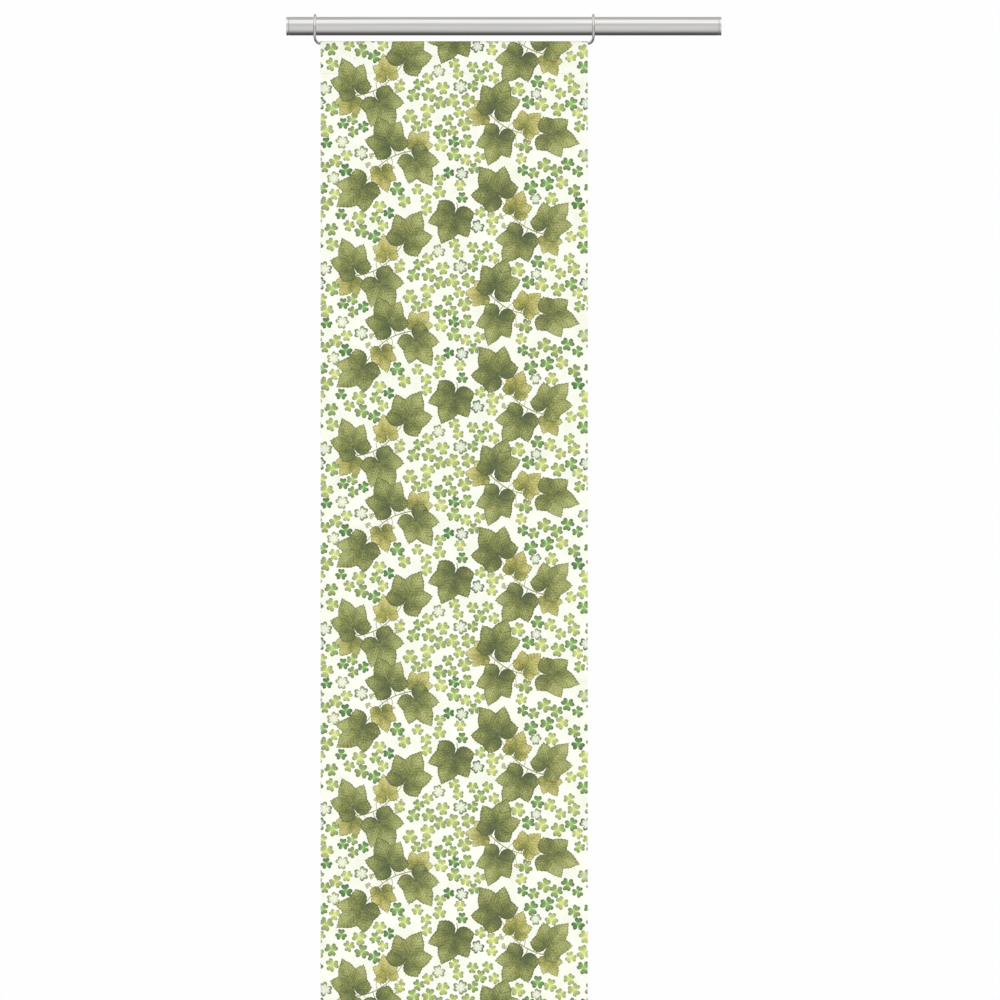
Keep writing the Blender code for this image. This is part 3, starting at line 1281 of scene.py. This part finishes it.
class CURTAIN_OT_caps(bpy.types.Operator):
    """Adds the two flat caps that plug the ends of the rod"""

    bl_idname = "curtain.caps"
    bl_label = "Rod caps"

    def execute(self, context):
        rod = context.scene.curtain.rod
        aluminium = turned_aluminium(rod.aluminium, rod.roughness)
        plug_radius = ROD_RADIUS - ROD_WALL - SEAT_GAP
        for node, (low, high) in CAP_BOXES.items():
            plug_length = high.x - low.x - CAP_THICKNESS
            if high.x < 0:
                outward = Vector((-1, 0, 0))
                cap = round_bar(low.x, low.x + CAP_THICKNESS)
            else:
                outward = Vector((1, 0, 0))
                cap = round_bar(high.x - CAP_THICKNESS, high.x)
            bpy.ops.object.transform_apply(location=True, rotation=True, scale=True)
            bpy.ops.object.mode_set(mode="EDIT")

            # The inner face gets a rounded shoulder and the plug that goes into the tube.
            select_facing(cap, -outward)
            bpy.ops.mesh.bevel(offset=SHOULDER_BREAK, segments=SHOULDER_STEPS, affect="EDGES")
            select_facing(cap, -outward)
            bpy.ops.mesh.inset(thickness=ROD_RADIUS - SHOULDER_BREAK - plug_radius)
            bpy.ops.mesh.extrude_region_move(TRANSFORM_OT_translate={"value": outward * -plug_length})

            # The outer face gets a shallow dish inside a ring.
            select_facing(cap, outward)
            bpy.ops.mesh.inset(thickness=FACE_RING)
            bpy.ops.mesh.extrude_region_move(TRANSFORM_OT_translate={"value": outward * -FACE_DISH})
            bpy.ops.object.mode_set(mode="OBJECT")
            break_edges(cap)
            finish_piece(cap, f"{node}_skin", [node], [aluminium])
        return {"FINISHED"}


# ---------------------------------------------------------------- the hanger


def bezier(start, start_handle, end_handle, end, steps):
    """Points of one cubic Bezier curve, without its start."""
    points = []
    for i in range(1, steps + 1):
        t = i / steps
        s = 1 - t
        point = start * s**3 + start_handle * 3 * s * s * t
        points.append(point + end_handle * 3 * s * t * t + end * t**3)
    return points


def hook_and_bend():
    """The centreline of the right-hand hook, from its free end behind the rod, over the top and
    down in front, and on through the bend to the end of the straight part."""
    top = WIRE_HIGH.z - WIRE_RADIUS
    radius = (top - WIRE_Z) / 2
    centre = top - radius
    plane = WIRE_HIGH.x - WIRE_RADIUS
    front_angle = math.acos((BEND_RISE + WIRE_Z - centre) / radius)
    points = []
    for i in range(ARC_STEPS + 1):
        angle = -HOOK_BACK_ANGLE + (front_angle + HOOK_BACK_ANGLE) * i / ARC_STEPS
        points.append(Vector((plane, -radius * math.sin(angle), centre + radius * math.cos(angle))))
    heading = Vector((0, -math.cos(front_angle), -math.sin(front_angle)))
    straight_end = Vector((HALF_WIDTH + BEND_OUTSET, 0, WIRE_Z))
    hook_handle = points[-1] + heading * HOOK_END_HANDLE
    straight_handle = straight_end + Vector((STRAIGHT_END_HANDLE, 0, 0))
    return points + bezier(points[-1], hook_handle, straight_handle, straight_end, BEND_STEPS)


def rounded_start(points):
    """(point, share of the wire's radius) pairs, with the first end rounded like a bead."""
    start, following = points[0], points[1]
    heading = (following - start).normalized()
    pairs = []
    for i in range(END_STEPS):
        angle = END_START_ANGLE + (math.pi / 2 - END_START_ANGLE) * i / END_STEPS
        pairs.append((start + heading * WIRE_RADIUS * (1 - math.cos(angle)), math.sin(angle)))
    rest = [point for point in points[1:] if (point - start).length > WIRE_RADIUS]
    return pairs + [(start + heading * WIRE_RADIUS, 1.0)] + [(point, 1.0) for point in rest]


class CURTAIN_OT_hanger(bpy.types.Operator):
    """Adds the hanger: one steel wire through the channel, with a hook over the rod at each end"""

    bl_idname = "curtain.hanger"
    bl_label = "Wire hanger"

    def execute(self, context):
        right = rounded_start(hook_and_bend())
        left = [(Vector((-point.x, point.y, point.z)), share) for point, share in right]
        route = left + right[::-1]
        curve = bpy.data.curves.new("hanger_wire", "CURVE")
        curve.dimensions = "3D"
        curve.bevel_depth = WIRE_RADIUS
        curve.bevel_resolution = WIRE_ROUNDNESS
        curve.use_fill_caps = True
        spline = curve.splines.new("POLY")
        spline.points.add(len(route) - 1)
        for target, (point, share) in zip(spline.points, route):
            target.co = (*point, 1)
            target.radius = share
        wire = bpy.data.objects.new("hanger_wire", curve)
        context.collection.objects.link(wire)
        choose(wire)
        bpy.ops.object.convert(target="MESH")
        wire = context.object
        finish_piece(wire, "hanger_wire", ["wire_hanger"], [drawn_wire()])
        hide_from_mirrors(wire)
        return {"FINISHED"}


# ---------------------------------------------------------------- the cloth


class CURTAIN_OT_panel(bpy.types.Operator):
    """Adds the printed cotton panel, with its open channel, its hem and its print"""

    bl_idname = "curtain.panel"
    bl_label = "Printed panel"

    def execute(self, context):
        settings = context.scene.curtain
        cloth = settings.cloth
        mesh, path = printed_sheet(cloth, settings.pattern)
        panel = bpy.data.objects.new("curtain_panel", mesh)
        context.collection.objects.link(panel)
        for reverse in (False, True):
            for ink in INKS:
                mesh.materials.append(printed_cotton(ink, reverse, settings))

        # The back face of each place gets the reverse of its own ink.
        apply_modifier(
            panel,
            "SOLIDIFY",
            thickness=cloth.thickness,
            offset=0,
            use_even_offset=True,
            material_offset=len(INKS),
        )
        finish_piece(panel, "curtain_panel", ["panel_cloth"], [])
        hide_from_mirrors(panel)
        return {"FINISHED"}


class CURTAIN_OT_stitches(bpy.types.Operator):
    """Adds the lockstitch that closes the channel and the hem, seen on both sides of the cloth"""

    bl_idname = "curtain.stitches"
    bl_label = "Stitches"

    def execute(self, context):
        cloth = context.scene.curtain.cloth
        path = ClothPath(cloth.thickness)
        clear_selection()
        bpy.ops.mesh.primitive_uv_sphere_add(
            segments=STITCH_SIDES, ring_count=STITCH_RINGS, radius=THREAD_RADIUS
        )
        first = context.object
        bpy.ops.object.mode_set(mode="EDIT")
        middle = (0, 0, 0)
        stretch = (STITCH_LENGTH / (2 * THREAD_RADIUS), THREAD_FLATNESS, 1)
        bpy.ops.transform.rotate(value=math.radians(90), orient_axis="Y", center_override=middle)
        bpy.ops.transform.resize(value=stretch, center_override=middle)
        bpy.ops.object.mode_set(mode="OBJECT")
        count = int((PANEL_WIDTH - 2 * STITCH_MARGIN) / STITCH_PITCH)
        apply_modifier(
            first,
            "ARRAY",
            count=count,
            use_relative_offset=False,
            use_constant_offset=True,
            constant_offset_displace=(STITCH_PITCH, 0, 0),
        )

        # The stitches lie in the cloth's front face and in the back face of its flap.
        front = -cloth.thickness / 2
        back = 1.5 * cloth.thickness + LAYER_GAP
        start = -(count - 1) * STITCH_PITCH / 2
        rows = []
        for z in (path.channel_seam - SEAM_WIDTH / 2, path.hem_seam - SEAM_WIDTH / 2):
            for y in (front - THREAD_SINK, back + THREAD_SINK):
                row = first.copy()
                row.data = first.data.copy()
                row.location = (start, y, z)
                context.collection.objects.link(row)
                rows.append(row)
        bpy.data.objects.remove(first)
        clear_selection()
        for row in rows:
            row.select_set(True)
        context.view_layer.objects.active = rows[0]
        bpy.ops.object.join()
        seams = rows[0]
        all_smooth = math.pi
        finish_piece(seams, "seam_stitches", [], [sewing_thread()], all_smooth)
        for vertex in seams.data.vertices:
            vertex.co.y += swing(vertex.co.x, vertex.co.z, path, cloth.wave)
        return {"FINISHED"}


# ---------------------------------------------------------------- the stage

# The studio's brightness by the angle from straight ahead of the panel, over the top to the
# back, or below the floor to the back.
STUDIO_ROUND = (
    # degrees, grey
    (-180, "#8c8c8c"),
    (-150, "#606060"),
    (-126, "#484848"),
    (-103, "#525252"),
    (-85, "#878787"),
    (-69, "#b2b2b2"),
    (-55, "#c2c2c2"),
    (-41, "#d0d0d0"),
    (-3, "#d0d0d0"),
    (9, "#c4c4c4"),
    (22, "#c6c6c6"),
    (35, "#e0e0e0"),
    (48, "#fafafa"),
    (62, "#f4f4f4"),
    (77, "#f4f4f4"),
    (94, "#bbbbbb"),
    (114, "#b0b0b0"),
    (180, "#b0b0b0"),
)
STUDIO_STRENGTH = 1.3
FLAG_STRENGTH = 0.4

# The fill light's grey, from straight down to straight up.
FILL_GREYS = (0.25, 0.75)

# How far to the side, from 0 to 1, the fill light and the dark flags start and are whole.
FILL_START = (0.25, 0.45)
FLAG_START = (0.8, 0.95)

SUN_SPREAD = math.radians(50)


def studio_world(world):
    """A near-white room to the camera. To everything else it is a soft studio gradient, with a
    fill light to either side that grows from below to above, and a dark flag beyond it."""
    world.use_nodes = True
    tree = world.node_tree
    tree.nodes.clear()
    direction = add(tree, "TexCoord", out="Generated")
    x, y, z = add(tree, "SeparateXYZ", [direction]).node.outputs
    ahead = add(tree, "Math", [y, -1.0], operation="MULTIPLY")
    angle = add(tree, "Math", [z, ahead], operation="ARCTAN2")
    share = add(tree, "MapRange", [angle, -math.pi, math.pi])
    stops = [((degrees + 180) / 360, grey) for degrees, grey in STUDIO_ROUND]
    gradient = add(tree, "ValToRGB", [share], stops=stops)
    sideways = add(tree, "Math", [x], operation="ABSOLUTE")
    beside = add(tree, "MapRange", [sideways, *FILL_START])
    fill = add(tree, "MapRange", [z, -1.0, 1.0, *FILL_GREYS])
    filled = {0: beside, 6: gradient, 7: fill}
    gradient = add(tree, "Mix", filled, out=2, data_type="RGBA", blend_type="LIGHTEN")
    strength = add(tree, "MapRange", [sideways, *FLAG_START, STUDIO_STRENGTH, FLAG_STRENGTH])
    soft = add(tree, "Background", [gradient, strength])
    white = add(tree, "Background", [(*srgb("#fefefe"), 1), 1.0])
    seen = add(tree, "LightPath", out="Is Camera Ray")
    both = add(tree, "MixShader", [seen, soft, white])
    add(tree, "OutputWorld", [both])


def soft_sun(name, strength, turns):
    """Adds a light as soft as a large window, turned by so many degrees about each axis."""
    light = bpy.data.lights.new(name, "SUN")
    light.energy = strength
    light.angle = SUN_SPREAD
    lamp = bpy.data.objects.new(name, light)
    lamp.rotation_euler = [math.radians(turn) for turn in turns]
    hide_from_mirrors(lamp)
    bpy.context.collection.objects.link(lamp)


class CURTAIN_OT_stage(bpy.types.Operator):
    """Adds the floor, the studio light and the camera"""

    bl_idname = "curtain.stage"
    bl_label = "Stage"

    def execute(self, context):
        scene, stage = context.scene, context.scene.curtain.stage
        clear_selection()
        bpy.ops.mesh.primitive_plane_add(
            size=stage.floor_size, location=(0, 0, CLOTH_LOW.z - stage.floor_gap)
        )
        floor = context.object
        bpy.ops.object.transform_apply(location=True, rotation=False, scale=False)
        floor.name = "studio_floor"
        hide_from_mirrors(floor)
        floor.data.materials.append(painted_floor())

        scene.world = bpy.data.worlds.new("studio")
        studio_world(scene.world)
        soft_sun("front_light", strength=0.7, turns=(60, 0, -25))
        soft_sun("back_light", strength=1.0, turns=(60, 0, 160))

        camera = bpy.data.cameras.new("camera")
        camera.sensor_width = 36
        camera.lens = camera.sensor_width * stage.camera_distance / stage.frame_width
        camera.clip_end = 100
        holder = bpy.data.objects.new("camera", camera)
        holder.location = (stage.camera_right, -stage.camera_distance, -stage.camera_drop)
        holder.rotation_euler = (math.radians(90), 0, 0)
        context.collection.objects.link(holder)
        scene.camera = holder
        scene.view_settings.view_transform = "Standard"
        return {"FINISHED"}


# ---------------------------------------------------------------- the add-on


class CURTAIN_PT_panel(bpy.types.Panel):
    """Lists the pieces of the curtain and its stage"""

    bl_idname = "CURTAIN_PT_panel"
    bl_label = "Panel curtain"
    bl_space_type = "VIEW_3D"
    bl_region_type = "UI"
    bl_category = "Curtain"

    def draw(self, context):
        settings = context.scene.curtain
        for operator in OPERATORS:
            self.layout.operator(operator.bl_idname)
        for group in (settings.cloth, settings.pattern, settings.rod, settings.stage):
            box = self.layout.box()
            for name in group.__annotations__:
                box.prop(group, name)


OPERATORS = (
    CURTAIN_OT_rod,
    CURTAIN_OT_caps,
    CURTAIN_OT_hanger,
    CURTAIN_OT_panel,
    CURTAIN_OT_stitches,
    CURTAIN_OT_stage,
)
CLASSES = (
    ClothSettings,
    PrintSettings,
    RodSettings,
    StageSettings,
    CurtainSettings,
    *OPERATORS,
    CURTAIN_PT_panel,
)


def register():
    for made in CLASSES:
        bpy.utils.register_class(made)
    bpy.types.Scene.curtain = PointerProperty(type=CurtainSettings)


def unregister():
    del bpy.types.Scene.curtain
    for made in reversed(CLASSES):
        bpy.utils.unregister_class(made)


def main():
    """Builds the curtain and its stage."""
    register()
    bpy.ops.curtain.rod()
    bpy.ops.curtain.caps()
    bpy.ops.curtain.hanger()
    bpy.ops.curtain.panel()
    bpy.ops.curtain.stitches()
    bpy.ops.curtain.stage()
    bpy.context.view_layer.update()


if __name__ == "__main__":
    main()
